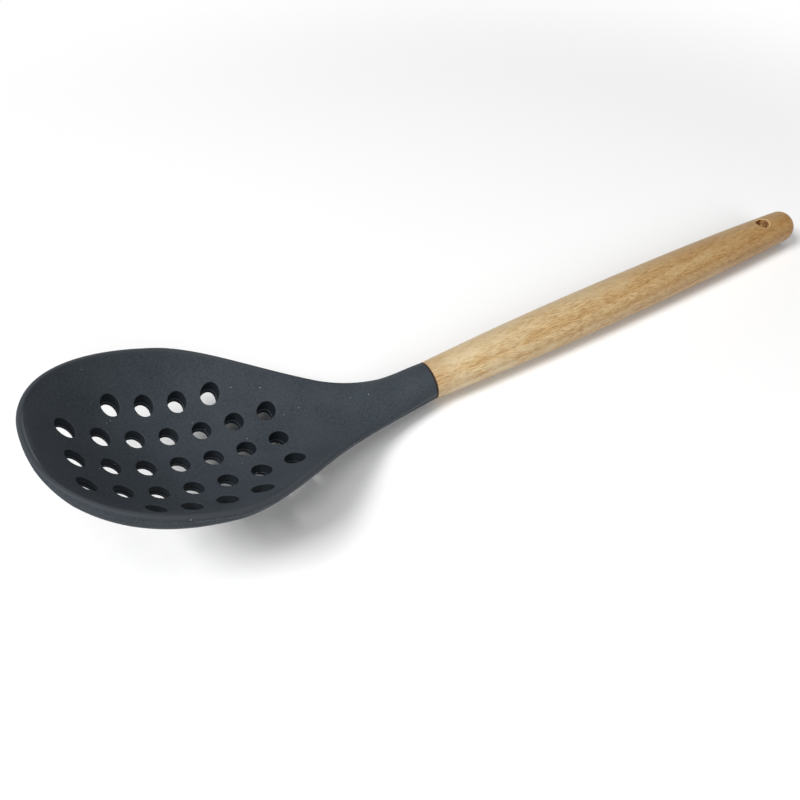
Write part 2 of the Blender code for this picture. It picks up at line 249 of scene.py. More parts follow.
def lowerHeight(x, y):
    # The upper height less the wall and the neck's keel, measured square to the surface, and less the skirt,
    # which grows as the fourth power of y/half width
    half = np.maximum(rimHalfWidth(x), head["leastWidth"])
    inner = np.maximum(half - head["lip"], head["leastWidth"])
    depth, fall = dishDepth(x)
    slope = depth * head["sideCurve"] * np.abs(y / inner) ** (head["sideCurve"] - 1) / inner
    wall = head["edgeWall"] + (head["wall"] - head["edgeWall"]) * (half / widest) ** 2
    keel = (head["neckRadius"] - wall) * smoothStep(x, head["keelStart"], jointStation)
    across = np.clip(y / half, -1, 1)
    thickness = wall + keel * (1 - across ** 2)
    comes, goes = smoothStep(x, *head["skirtStart"]), smoothStep(x, *head["skirtEnd"])
    skirt = head["skirt"] * (1 - 2 * smoothStep(x, *head["skirtTurn"])) * comes * (1 - goes)
    return upperHeight(x, y) - thickness * np.sqrt(1 + fall ** 2 + slope ** 2) - skirt * across ** 4


def rimOutline():
    # The rim from one side of the neck round the tip to the other, in even steps, with inward normals that
    # turn square to the neck where its loft takes over
    n = head["tipBluntness"]
    turn = np.linspace(0, math.pi / 2, head["noseSteps"])
    nose = np.stack([-head["tipReach"] * np.cos(turn) ** (2 / n), widest * np.sin(turn) ** (2 / n)], axis=1)
    along = np.linspace(0, head["sheetEnd"], head["shoulderSteps"])[1:]
    half = np.concatenate([nose, np.stack([along, rimHalfWidth(along)], axis=1)])
    length = np.concatenate([[0], np.cumsum(np.linalg.norm(np.diff(half, axis=0), axis=1))])
    places = np.linspace(0, length[-1], int(length[-1] / head["outlineStep"]) + 1)
    half = np.stack([np.interp(places, length, half[:, axis]) for axis in (0, 1)], axis=1)
    path = np.concatenate([half[:0:-1] * (1, -1), half])
    tangent = np.gradient(path, axis=0)
    inward = np.stack([tangent[:, 1], -tangent[:, 0]], axis=1)
    squareOn = smoothStep(path[:, 0], head["sheetEnd"] - head["squareRun"], head["sheetEnd"])[:, None]
    across = np.stack([0 * path[:, 1], -np.sign(path[:, 1])], axis=1)
    inward = (1 - squareOn) * inward / np.linalg.norm(inward, axis=1, keepdims=True) + squareOn * across
    return path, inward / np.linalg.norm(inward, axis=1, keepdims=True)


def rimProfile(path, inward):
    # The rim's section at each place, as inset from the outline and height: a fillet out of the dish, the lip's
    # flat, a quarter round, the outer wall with the mould's line, and a curve that runs into the underside.
    count = len(path)

    def heightAt(inset, surface):
        place = path + inset * inward
        return surface(place[:, 0], place[:, 1])

    def pair(inset, height):
        return np.stack([np.broadcast_to(inset, count), np.broadcast_to(height, count)], axis=1)

    rounding, skin = head["lipRounding"], head["beadHeight"]
    flat = skin + rounding + head["lipFlat"]
    nearTip = np.maximum(1 - (path[:, 0] + head["tipReach"]) / head["tipDropRun"], 0)
    top = -head["tipDrop"] * nearTip ** 2
    edge = top - rounding
    fillet = quadBezier(pair(head["upperInset"], heightAt(head["upperInset"], upperHeight)),
                        pair(head["lip"], top), pair(flat, top), head["filletSteps"])
    quarter = quadBezier(pair(skin + rounding, top), pair(skin, top), pair(skin, edge), head["lipSteps"])
    under = heightAt(head["lowerInset"], lowerHeight)
    climb = (under - heightAt(head["lowerInset"] + head["slopeStep"], lowerHeight)) / head["slopeStep"]
    corner = under + climb * (head["lowerInset"] - skin)  # where the underside's line would meet the outer wall
    foot = corner - head["runInShare"] * (corner - edge)
    bead = edge + head["beadShare"] * (foot - edge)
    beadRows = np.stack([pair(skin - head["beadHeight"] * out, bead - head["beadWidth"] / 2 * down)
                         for out, down in head["beadShape"]], axis=1)
    runIn = quadBezier(pair(skin, foot), pair(skin, corner), pair(head["lowerInset"], under), head["runInSteps"])
    return np.concatenate([fillet, quarter, beadRows, runIn], axis=1)


def holeCentres():  # three full rows, and an outer row on each side set half a pitch over
    outer = holes["rowPitch"] + holes["outerRowPitch"]
    rows = [(across, holes["columns"]) for across in (-holes["rowPitch"], 0, holes["rowPitch"])]
    rows += [(-outer, holes["outerColumns"]), (outer, holes["outerColumns"])]
    lines = [np.stack([(np.arange(count) - (count - 1) / 2) * holes["pitch"], np.full(count, across)], axis=1)
             for across, count in rows]
    return np.concatenate(lines)


def holeWalls(centres):  # each hole's section carried round it: upper round, wide wall, ledge, drain, lower round
    wide, drain, bevel = holes["radius"], holes["drainRadius"], holes["ledgeBevel"]

    def ring(radius, surface, lift=0, over=None):  # height is taken at the circle that the ring hangs over
        place = circles(centres, over or radius, holes["around"])
        height = surface(place[..., 0], place[..., 1]) + lift
        return np.stack([np.full(height.shape, radius), height], axis=-1)

    def within(x, y):  # a height that lies at one share of the wall, from its upper face to its lower one
        return upperHeight(x, y) + holes["ledgeShare"] * (lowerHeight(x, y) - upperHeight(x, y))

    upper = quadBezier(ring(wide + holes["upperRounding"], upperHeight), ring(wide, upperHeight),
                       ring(wide, upperHeight, -holes["upperRounding"]), holes["roundingSteps"])
    ledge = np.stack([ring(wide, within, holes["ledgeGuide"] * bevel), ring(wide, within),
                      ring(drain + bevel, within, 0, wide), ring(drain, within, -bevel, wide)], axis=2)
    lower = quadBezier(ring(drain, lowerHeight, holes["lowerRounding"]), ring(drain, lowerHeight),
                       ring(drain + holes["lowerRounding"], lowerHeight), holes["roundingSteps"])
    section = np.concatenate([upper, ledge, lower], axis=2)
    turn = turns(holes["around"])[:, None]
    radius, height = section[..., 0], section[..., 1]
    x = centres[:, 0, None, None] + radius * np.cos(turn)
    y = centres[:, 1, None, None] + radius * np.sin(turn)
    return np.swapaxes(np.stack([x, y, height], axis=-1), 1, 2)


def standUp(station, y, z):
    # Sections stood square to the neck's spine, which runs straight, bends on an arc and runs straight again
    angle = np.clip((station - head["neckStart"]) / head["bendRadius"], 0, head["neckAngle"])
    beyond = np.maximum(station - bendEnd, 0)
    along = np.minimum(station, head["neckStart"]) + head["bendRadius"] * np.sin(angle) + beyond * np.cos(angle)
    up = head["bendRadius"] * (1 - np.cos(angle)) + beyond * np.sin(angle)
    along, up, angle = along[:, None], up[:, None], angle[:, None]
    return np.stack([along - z * np.sin(angle), y, up + z * np.cos(angle)], axis=-1)


def neckRings():
    # Sections of the neck from the sheets' end to the joint: a dish section and an ellipse, blended point by
    # point and stood on the spine
    station = np.linspace(head["sheetEnd"], jointStation, head["neckRows"])
    half = rimHalfWidth(station)
    spread = np.linspace(-1, 1, head["acrossCount"])
    column = station[:, None]
    upperY = spread * (half - head["upperInset"])[:, None]
    lowerY = -spread * (half - head["lowerInset"])[:, None]
    side = rimProfile(np.stack([station, half], axis=1), np.stack([0 * half, 0 * half - 1], axis=1))[:, 1:-1]
    sideY, sideZ = half[:, None] - side[..., 0], side[..., 1]
    y = np.concatenate([upperY, sideY, lowerY, -sideY[:, ::-1]], axis=1)
    z = np.concatenate([upperHeight(column, upperY), sideZ, lowerHeight(column, lowerY), sideZ[:, ::-1]], axis=1)

    upperTurn = math.pi / 2 - head["faceTurn"] * upperY / (half - head["lip"])[:, None]
    lowerTurn = -math.pi / 2 + head["faceTurn"] * lowerY / half[:, None]
    onBead, rows = beadRow - 1, side.shape[1]  # the mould's line comes to the middle of the neck's side
    above, below = np.linspace(1, 0, onBead + 2)[1:-1], np.linspace(0, 1, rows - onBead + 1)[:-1]
    sideTurn = np.concatenate([upperTurn[:, -1:] * above, lowerTurn[:, :1] * below], axis=1)
    turn = np.concatenate([upperTurn, sideTurn, lowerTurn, math.pi - sideTurn[:, ::-1]], axis=1)
    sideRidge = head["neckBead"] * np.maximum(1 - np.abs(np.arange(rows) - onBead) / 2, 0)
    faces = np.zeros(len(spread))
    ridge = np.concatenate([faces, sideRidge, faces, sideRidge[::-1]])
    share = smoothStep(column, head["roundingStart"], jointStation)
    y = (1 - share) * y + share * (half[:, None] + ridge) * np.cos(turn)
    z = (1 - share) * z + share * (head["neckRadius"] + ridge) * np.sin(turn)
    return standUp(station, y, z)


jointPlace = standUp(np.array([jointStation]), np.zeros((1, 1)), np.zeros((1, 1)))[0, 0] * mm
rimToRow = Matrix.Rotation(head["neckAngle"], 3, "Y")
axisHeight = (handleLow.z + handleHigh.z) / 2
rimOrigin = Vector((handleLow.x - head["jointGap"] * mm, 0, axisHeight)) - rimToRow @ Vector(jointPlace)


def toRow(points):  # millimetres in the rim's plane to metres in the frame
    return np.asarray(points).reshape(-1, 3) * mm @ np.array(rimToRow).T + np.array(rimOrigin)


def makeHead():
    surface = Surface()
    path, inward = rimOutline()
    section = rimProfile(path, inward)
    place = path[:, None] + section[..., :1] * inward[:, None]
    band = np.concatenate([place, section[..., 1:]], axis=2)
    onBead = (beadRow - 1, beadRow)  # the two strips that meet on the mould's line
    # the strips on the mould's line, from the highlight's start towards the neck, take a painted highlight
    onLineHighlight = np.isin(np.arange(section.shape[1] - 1), onBead) & (path[:-1, :1] > head["lineHighlightStart"])
    surface.add(toRow(band), gridFaces(len(path), section.shape[1], False), lineHighlightFinish * onLineHighlight.ravel())

    centres = holeCentres()
    walls = holeWalls(centres)
    # the strips that are off a pin take the painted shade of the hole walls
    paintedShadeStrips = np.isin(np.arange(walls.shape[1] - 1), holes["shadeStrips"])
    wallFinish = shadedWallFinish * np.repeat(paintedShadeStrips, holes["around"])
    for wall in walls:
        surface.add(toRow(wall), gridFaces(wall.shape[0], wall.shape[1], True), wallFinish)

    # The dish's two faces: flat sheets round the holes, lifted to their heights
    spread = np.linspace(1, -1, head["acrossCount"])[1:-1]
    upper = (0, upperHeight, holes["radius"] + holes["upperRounding"], holes["upperGuides"])
    lower = (-1, lowerHeight, holes["drainRadius"] + holes["lowerRounding"], holes["lowerGuides"])
    for row, height, start, guides in (upper, lower):
        rim = band[:, row, :2]
        split = np.stack([np.full(len(spread), head["sheetEnd"]), spread * rim[-1, 1]], axis=1)
        rings = [circles(centres, start + out, holes["around"]) for out in (0, *guides)]
        flat, faces = perforatedSheet(np.concatenate([rim, split]), rings, head["sheetSpacing"],
                                      head["sheetClear"])
        surface.add(toRow(np.column_stack([flat, height(flat[:, 0], flat[:, 1])])), faces, faceFinish)

    # The neck, its end rounded over a quarter turn and closed flat
    rings = neckRings()
    rounding = head["jointRounding"]
    axis = np.array([math.cos(head["neckAngle"]), 0, math.sin(head["neckAngle"])])
    full = rings[-1].copy()
    middle = full.mean(axis=0)
    rings[-1] -= rounding * axis
    turn = np.linspace(0, math.pi / 2, head["endSteps"])[1:, None, None]
    shrink = 1 - rounding / head["neckRadius"] * (1 - np.cos(turn))
    rounded = middle + (full - middle) * shrink - rounding * (1 - np.sin(turn)) * axis
    closing = middle + (rounded[-1] - middle) * np.reshape(head["endRings"], (-1, 1, 1))
    rows = np.concatenate([rings, rounded, closing])
    # the mould's lines on both sides of the neck take the painted highlight too
    line = head["acrossCount"] + np.array(onBead) - 1
    bothLines = np.concatenate([line, rows.shape[1] + head["acrossCount"] - 1 - line])
    onLineHighlight = np.isin(np.arange(rows.shape[1]), bothLines) & (np.arange(len(rows) - 1)[:, None] < len(rings))
    surface.add(toRow(rows), gridFaces(len(rows), rows.shape[1], True), lineHighlightFinish * onLineHighlight.ravel())
    piece = surface.piece("moulded_head")
    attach(piece, "root")
    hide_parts("silicone_head")
    return piece


# Handle, in millimetres from the joint along its axis

handle = {
    "belly": 10.25, "bellyFromJoint": 88.0, "butt": 7.5, "buttTaper": 2.5, "buttRounding": 5.0,
    "edgeRounding": 0.25, "bore": 5.2, "boreDepth": 51.2,
    "hole": 3.35, "holeFromEnd": 20.0, "holeRounding": 0.6,
    # the mesh, and the stretch of skin round the hanging hole that is triangulated
    "around": 112, "step": 1.6, "mouthSteps": 5, "buttSteps": 16, "rimSteps": 7, "shaftSteps": 12,
    "holeZone": 7.0, "holeAround": 56, "zoneSpacing": 0.8, "zoneClear": 0.45, "zoneGuides": (0.5, 1.1),
    "seamSteps": 21,
}
handleStart = handleLow.x - head["jointGap"] * mm
handleLength = (handleHigh.x - handleStart) / mm


def handleRadius(distance):  # squared swell from the neck to the belly, then a power curve down to the butt
    belly = handle["belly"]
    swell = belly - (belly - head["neckRadius"]) * (1 - distance / handle["bellyFromJoint"]) ** 2
    share = np.maximum(distance - handle["bellyFromJoint"], 0) / (handleLength - handle["bellyFromJoint"])
    slim = belly - (belly - handle["butt"]) * share ** handle["buttTaper"]
    return np.where(distance < handle["bellyFromJoint"], swell, slim)


def onAxis(distance, radius, turn):  # turn 0 points to +Y, a quarter turn up
    return np.stack([handleStart + distance * mm + 0 * turn, radius * np.cos(turn) * mm,
                     axisHeight + radius * np.sin(turn) * mm], axis=-1)


def turnedRows(profile):  # a profile of distance and radius, carried round the axis
    distance, radius = np.asarray(profile, float).T[..., None]
    return onAxis(distance, radius, turns(handle["around"]) - math.pi / 2)


def makeHandle():
    surface = Surface()
    gap, edge = head["jointGap"], handle["edgeRounding"]
    place = handleLength - handle["holeFromEnd"]
    zoneStart, zoneEnd = place - handle["holeZone"], place + handle["holeZone"]
    quarter = np.linspace(0, math.pi / 2, handle["mouthSteps"])
    mouth = np.stack([gap + edge * (1 - np.sin(quarter)),
                      float(handleRadius(gap)) - edge * (1 - np.cos(quarter))], axis=1)[::-1]
    body = np.linspace(gap + 2 * edge, zoneStart, int((zoneStart - gap) / handle["step"]))
    bore = [(handle["boreDepth"], 0), (handle["boreDepth"], handle["bore"]), (gap, handle["bore"])]
    rows = turnedRows(np.concatenate([bore, mouth, np.stack([body, handleRadius(body)], axis=1)]))
    surface.add(rows, gridFaces(len(rows), rows.shape[1], True))

    shoulder = handleLength - handle["buttRounding"]
    tail = np.linspace(zoneEnd, shoulder, int((shoulder - zoneEnd) / handle["step"]) + 2)[:-1]
    quarter = np.linspace(0, math.pi / 2, handle["buttSteps"])
    crown = float(handleRadius(shoulder)) - handle["buttRounding"]
    butt = np.stack([shoulder + handle["buttRounding"] * np.sin(quarter),
                     crown + handle["buttRounding"] * np.cos(quarter)], axis=1)
    rows = turnedRows(np.concatenate([np.stack([tail, handleRadius(tail)], axis=1), butt,
                                      [(handleLength, crown / 2), (handleLength, 0)]]))
    surface.add(rows, gridFaces(len(rows), rows.shape[1], True))

    # Round the hanging hole the skin is unrolled flat, triangulated there and rolled up again
    unit = handle["belly"]
    turn = np.linspace(0, 2 * math.pi, handle["around"] + 1)
    seam = np.linspace(zoneStart, zoneEnd, handle["seamSteps"])[1:-1]
    edgeLoop = np.concatenate([
        np.stack([np.full(len(turn), zoneStart), turn * unit], axis=1),
        np.stack([seam, np.full(len(seam), turn[-1] * unit)], axis=1),
        np.stack([np.full(len(turn), zoneEnd), turn[::-1] * unit], axis=1),
        np.stack([seam[::-1], np.full(len(seam), turn[0] * unit)], axis=1)])
    rim = handle["hole"] + handle["holeRounding"]
    drop = np.array([[place, 0.0]])

    def unrolled(radius):  # a circle seen from above, dropped on the top of the skin and on its underside
        ring = circles(drop, radius, handle["holeAround"])[0]
        swing = np.arcsin(ring[:, 1] / handleRadius(ring[:, 0]))
        return np.stack([np.stack([ring[:, 0], side * unit], axis=1)
                         for side in (math.pi / 2 - swing, 3 * math.pi / 2 + swing)])

    rings = [unrolled(rim + out) for out in (0, *handle["zoneGuides"])]
    flat, faces = perforatedSheet(edgeLoop, rings, handle["zoneSpacing"], handle["zoneClear"])
    surface.add(onAxis(flat[:, 0], handleRadius(flat[:, 0]), flat[:, 1] / unit), faces)

    def wallAt(radius, lower=0):  # place and height of a circle on the skin, or a step below it
        ring = circles(drop, radius, handle["holeAround"])[0]
        height = np.sqrt(handleRadius(ring[:, 0]) ** 2 - ring[:, 1] ** 2) - lower
        return np.column_stack([ring, height])

    eased = quadBezier(wallAt(rim), wallAt(handle["hole"]), wallAt(handle["hole"], handle["holeRounding"]),
                       handle["rimSteps"])
    eased = np.swapaxes(eased, 0, 1)
    share = np.linspace(1, -1, handle["shaftSteps"])[1:-1, None, None]
    shaft = eased[-1] * (1, 1, 0) + share * (eased[-1] * (0, 0, 1))
    wall = np.concatenate([eased, shaft, eased[::-1] * (1, 1, -1)])
    wall = wall * mm + (handleStart, 0, axisHeight)
    surface.add(wall, gridFaces(wall.shape[0], wall.shape[1], True))
    piece = surface.piece("turned_handle")
    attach(piece, "root")
    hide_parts("wooden_handle")
    return piece


# Materials: colours are sRGB hex, sizes are millimetres

mixFactor, mixFrom, mixTo, mixResult = 0, 6, 7, 2  # sockets of a Mix node that is set to colours


def linear(hexColour):  # sRGB hex to linear red, green, blue and alpha
    parts = np.array([int(hexColour[index:index + 2], 16) for index in (0, 2, 4)]) / 255
    values = np.where(parts <= 0.04045, parts / 12.92, ((parts + 0.055) / 1.055) ** 2.4)
    return (*values.tolist(), 1)


def per(length):  # texture scale for a feature of so many millimetres
    return 1 / (length * mm)


def addNode(tree, kind, settings=None, links=None, stops=()):
    node = tree.nodes.new(kind)
    for name, value in (settings or {}).items():
        if isinstance(name, int) or name in node.inputs:
            node.inputs[name].default_value = value
        else:
            setattr(node, name, value)
    for name, socket in (links or {}).items():
        tree.links.new(socket, node.inputs[name])
    for index, (position, colour) in enumerate(stops):
        stop = node.color_ramp.elements[index] if index < 2 else node.color_ramp.elements.new(position)
        stop.position = position
        stop.color = linear(colour)
    return node


def newMaterial(name):
    material = bpy.data.materials.new(name)
    material.use_nodes = True
    return material, material.node_tree, material.node_tree.nodes["Principled BSDF"]


# Silicone rubber off a blasted steel mould: matt dark slate, softly mottled, a faint grain, a painted highlight
# that makes the lip a little paler, and a few specks of dust. The real grain is near 0.1 mm, too fine to show, so
# it is drawn at 0.8 mm.
silicone = {
    "shade": "292f35", "light": "32383e", "peak": "40474d", "lip": "3c4045", "dust": "c4c8cc",
    "ior": 1.41, "roughness": (0.58, 0.68), "sheen": 0.25,
    "mottle": 16, "mottleStops": (0.35, 0.65),
    "grain": 0.8, "grainDepth": 0.05, "peakRange": (0.35, 0.7), "peakShare": 0.55,
    "lipHighlightDepth": 1.1, "lipHighlightEnd": (28, 52),  # below the rim, and stations where the painted highlight fades towards the neck
    "dustSpacing": 5.0, "dustSize": 0.2,
}
# The drain holes' walls are the same silicone with painted shade: coloured much darker, so that they look deep and
# dark
shadedHoleSilicone = {**silicone, "shade": "13171b", "light": "181d21", "peak": "1c2025", "sheen": 0.1}
# Along the mould's line a fine paler line is painted: a painted highlight on its ridge
lineHighlightSilicone = {**silicone, "shade": "494e52", "light": "51555a", "peak": "5b5f63"}


def mouldedSilicone(name, finish):
    material, tree, shader = newMaterial(name)
    place = addNode(tree, "ShaderNodeTexCoord").outputs["Object"]
    mottle = addNode(tree, "ShaderNodeTexNoise", {"Scale": per(finish["mottle"]), "Detail": 4}, {"Vector": place})
    shadeStop, lightStop = finish["mottleStops"]
    colour = addNode(tree, "ShaderNodeValToRGB", links={"Fac": mottle.outputs["Fac"]},
                     stops=[(shadeStop, finish["shade"]), (lightStop, finish["light"])])
    grain = addNode(tree, "ShaderNodeTexNoise", {"Scale": per(finish["grain"]), "Detail": 2}, {"Vector": place})
    low, high = finish["peakRange"]
    peak = addNode(tree, "ShaderNodeMapRange", {"From Min": low, "From Max": high, "To Max": finish["peakShare"]},
                   {"Value": grain.outputs["Fac"]})
    blasted = addNode(tree, "ShaderNodeMix", {"data_type": "RGBA", mixTo: linear(finish["peak"])},
                      {mixFactor: peak.outputs["Result"], mixFrom: colour.outputs["Color"]})

    # painted highlight on the lip: just under the plane of the rim, as far as the neck
    rimAxis = Vector((math.sin(head["neckAngle"]), 0, math.cos(head["neckAngle"])))
    overRim = addNode(tree, "ShaderNodeVectorMath", {"operation": "DOT_PRODUCT", 1: rimAxis}, {0: place})
    level = rimAxis.dot(rimOrigin)
    onLip = addNode(tree, "ShaderNodeMapRange",
                    {"From Min": level - finish["lipHighlightDepth"] * mm, "From Max": level,
                     "interpolation_type": "SMOOTHSTEP"}, {"Value": overRim.outputs["Value"]})
    fadeStart, fadeEnd = (rimOrigin.x + math.cos(head["neckAngle"]) * station * mm for station in finish["lipHighlightEnd"])
    axes = addNode(tree, "ShaderNodeSeparateXYZ", links={"Vector": place})
    onDish = addNode(tree, "ShaderNodeMapRange", {"From Min": fadeEnd, "From Max": fadeStart},
                     {"Value": axes.outputs["X"]})
    onBoth = addNode(tree, "ShaderNodeMath", {"operation": "MULTIPLY"},
                     {0: onLip.outputs["Result"], 1: onDish.outputs["Result"]})
    lipHighlightOrJointTone = addNode(tree, "ShaderNodeMix", {"data_type": "RGBA", mixTo: linear(finish["lip"])},
                     {mixFactor: onBoth.outputs["Value"], mixFrom: blasted.outputs[mixResult]})

    cells = addNode(tree, "ShaderNodeTexVoronoi", {"Scale": per(finish["dustSpacing"])}, {"Vector": place})
    speckSize = finish["dustSize"] / finish["dustSpacing"]
    speck = addNode(tree, "ShaderNodeMapRange", {"From Min": speckSize, "From Max": speckSize / 2},
                    {"Value": cells.outputs["Distance"]})
    dusted = addNode(tree, "ShaderNodeMix", {"data_type": "RGBA", mixTo: linear(finish["dust"])},
                     {mixFactor: speck.outputs["Result"], mixFrom: lipHighlightOrJointTone.outputs[mixResult]})
    tree.links.new(dusted.outputs[mixResult], shader.inputs["Base Color"])
    low, high = finish["roughness"]
    rough = addNode(tree, "ShaderNodeMapRange", {"To Min": low, "To Max": high}, {"Value": mottle.outputs["Fac"]})
    tree.links.new(rough.outputs["Result"], shader.inputs["Roughness"])
    bump = addNode(tree, "ShaderNodeBump", {"Strength": 1, "Distance": finish["grainDepth"] * mm},
                   {"Height": grain.outputs["Fac"]})
    tree.links.new(bump.outputs["Normal"], shader.inputs["Normal"])
    shader.inputs["IOR"].default_value = finish["ior"]
    shader.inputs["Specular IOR Level"].default_value = finish["sheen"]
    return material


# Ring-porous hardwood, turned, sanded and oiled: growth rings cut at a slant, short fibres and pores that run a
# little off the axis, milky patches of painted sheen, and a satin sheen. Real fibres and pores are some
# hundredths to three tenths of a millimetre wide, too fine to show, so they are drawn at 0.4 to 0.6 mm.
wood = {
    "pale": "d8c39b", "mid": "cdb282", "deep": "c4a573",  # across one growth ring
    "ringSpacing": 5.0, "ringWander": 1.6, "pith": (9, 24), "pithTilt": math.radians(10), "stretch": 0.2,
    "midStop": 0.25, "paleStop": 0.7,
    "shade": "c0a67a", "fibre": (4.5, 0.42), "fibreRoughness": 0.78, "streakRange": (0.57, 0.41),
    "streakShare": 0.8, "fibreDepth": 0.03, "fibreBump": 0.6,
    "slant": math.radians(4), "swayLength": 45, "sway": 1.6,  # how the fibres run off the axis
    "pore": "7f5a2c", "poreCell": (3.6, 0.6), "poreSize": 0.32, "lateSize": 0.7, "poreShare": 0.6,
    "poreDepth": 0.06, "poreBump": 0.8,
    "sheenPatch": "cfbe9c", "patch": (15, 6), "patchRange": (0.5, 0.75), "patchShare": 0.7,
    "jointPatch": 30, "jointPatchGain": 0.1,  # the painted sheen gathers some way behind the joint
    "farSheen": "cfbb98", "farSheenRange": (-3, 8), "farSheenShare": 0.6,  # paler on the far side: painted sheen
    "buttTone": "c3aa7d", "buttToneStart": 10, "jointTone": "ece2d8", "jointToneRun": 14,  # towards the butt, at the joint
    "jointLine": "4a2f1a", "jointLineWidth": 0.45,
    # the paler ring round the hanging hole is a painted highlight on its eased rim
    "holeHighlight": "c9a873", "holeHighlightRange": (0.6, 0.35), "holeDark": "6b4023", "holeLight": "c9a06c",
    "boreRange": (0.2, 0.02), "tear": 3, "tearStops": (0.4, 0.6),  # end grain torn by the drill
    "ior": 1.47, "roughness": (0.42, 0.58), "gloss": 0.35, "oil": 0.25, "oilRoughness": 0.34,
}


def oiledHardwood():
    material, tree, shader = newMaterial("oiled turned hardwood")
    place = addNode(tree, "ShaderNodeTexCoord").outputs["Object"]
    axes = addNode(tree, "ShaderNodeSeparateXYZ", links={"Vector": place})
    drift = addNode(tree, "ShaderNodeTexNoise", {"Scale": per(wood["swayLength"]), "Detail": 1}, {"Vector": place})
    centred = addNode(tree, "ShaderNodeVectorMath", {"operation": "SUBTRACT", 1: (0.5, 0.5, 0.5)},
                      {0: drift.outputs["Color"]})
    bent = addNode(tree, "ShaderNodeVectorMath",
                   {"operation": "MULTIPLY_ADD", 1: (0, wood["sway"] * mm, wood["sway"] * mm)},
                   {0: centred.outputs["Vector"], 2: place})
    slanted = addNode(tree, "ShaderNodeMapping", {"Rotation": (0, 0, wood["slant"])},
                      {"Vector": bent.outputs["Vector"]})

    def along(sizes):  # coordinates that count lengths of one size along the grain and another across it
        length, breadth = sizes
        return addNode(tree, "ShaderNodeMapping", {"Scale": (per(length), per(breadth), per(breadth))},
                       {"Vector": slanted.outputs["Vector"]}).outputs["Vector"]

    # growth rings, and the fibres over them
    aside, below = wood["pith"]
    fromPith = addNode(tree, "ShaderNodeMapping",
                       {"Location": (0, aside * mm, below * mm), "Rotation": (0, wood["pithTilt"], 0),
                        "Scale": (wood["stretch"], 1, 1)}, {"Vector": place})
    rings = addNode(tree, "ShaderNodeTexWave",  # the wave node counts 10/pi rings to a unit
                    {"wave_type": "RINGS", "rings_direction": "X", "wave_profile": "SAW",
                     "Scale": per(wood["ringSpacing"]) * math.pi / 10,
                     "Distortion": wood["ringWander"], "Detail": 3, "Detail Scale": 1},
                    {"Vector": fromPith.outputs["Vector"]})
    figure = addNode(tree, "ShaderNodeValToRGB", links={"Fac": rings.outputs["Fac"]},
                     stops=[(0, wood["deep"]), (1, wood["mid"]), (wood["midStop"], wood["mid"]),
                            (wood["paleStop"], wood["pale"])])
    fibre = addNode(tree, "ShaderNodeTexNoise", {"Scale": 1, "Detail": 4, "Roughness": wood["fibreRoughness"]},
                    {"Vector": along(wood["fibre"])})
    low, high = wood["streakRange"]
    streak = addNode(tree, "ShaderNodeMapRange",
                     {"From Min": low, "From Max": high, "To Max": wood["streakShare"]},
                     {"Value": fibre.outputs["Fac"]})
    grain = addNode(tree, "ShaderNodeMix",
                    {"data_type": "RGBA", "blend_type": "MULTIPLY", mixTo: linear(wood["shade"])},
                    {mixFactor: streak.outputs["Result"], mixFrom: figure.outputs["Color"]})

    # milky patches of painted sheen, more of them behind the joint, and the far side painted paler as sheen
    cloud = addNode(tree, "ShaderNodeTexNoise", {"Scale": 1, "Detail": 2}, {"Vector": along(wood["patch"])})
    fromPatch = addNode(tree, "ShaderNodeMath",
                        {"operation": "SUBTRACT", 1: handleStart + wood["jointPatch"] * mm},
                        {0: axes.outputs["X"]})
    awayFromPatch = addNode(tree, "ShaderNodeMath", {"operation": "ABSOLUTE"}, {0: fromPatch.outputs["Value"]})
    nearJoint = addNode(tree, "ShaderNodeMapRange",
                        {"From Min": wood["jointPatch"] * mm, "From Max": 0, "To Max": wood["jointPatchGain"]},
                        {"Value": awayFromPatch.outputs["Value"]})
    clouded = addNode(tree, "ShaderNodeMath", {"operation": "ADD"},
                      {0: cloud.outputs["Fac"], 1: nearJoint.outputs["Result"]})
    low, high = wood["patchRange"]
    thin = addNode(tree, "ShaderNodeMapRange", {"From Min": low, "From Max": high, "To Max": wood["patchShare"]},
                   {"Value": clouded.outputs["Value"]})
    paintedSheenPatches = addNode(tree, "ShaderNodeMix", {"data_type": "RGBA", mixTo: linear(wood["sheenPatch"])},
                    {mixFactor: thin.outputs["Result"], mixFrom: grain.outputs[mixResult]})
    # the far side of the handle painted paler, as sheen
    low, high = wood["farSheenRange"]
    outer = addNode(tree, "ShaderNodeMapRange",
                    {"From Min": low * mm, "From Max": high * mm, "To Max": wood["farSheenShare"]},
                    {"Value": axes.outputs["Y"]})
    sided = addNode(tree, "ShaderNodeMix", {"data_type": "RGBA", mixTo: linear(wood["farSheen"])},
                    {mixFactor: outer.outputs["Result"], mixFrom: paintedSheenPatches.outputs[mixResult]})

    # darker towards the butt, a little warmer and darker at the joint
    buttTone = addNode(tree, "ShaderNodeMapRange",
                   {"From Min": handleStart + wood["buttToneStart"] * mm, "From Max": handleHigh.x},
                   {"Value": axes.outputs["X"]})
    toned = addNode(tree, "ShaderNodeMix",
                    {"data_type": "RGBA", "blend_type": "MULTIPLY", mixTo: linear(wood["buttTone"])},
                    {mixFactor: buttTone.outputs["Result"], mixFrom: sided.outputs[mixResult]})
    atJoint = addNode(tree, "ShaderNodeMapRange",
                      {"From Min": handleStart + wood["jointToneRun"] * mm, "From Max": handleStart},
                      {"Value": axes.outputs["X"]})
    lipHighlightOrJointTone = addNode(tree, "ShaderNodeMix",
                     {"data_type": "RGBA", "blend_type": "MULTIPLY", mixTo: linear(wood["jointTone"])},
                     {mixFactor: atJoint.outputs["Result"], mixFrom: toned.outputs[mixResult]})

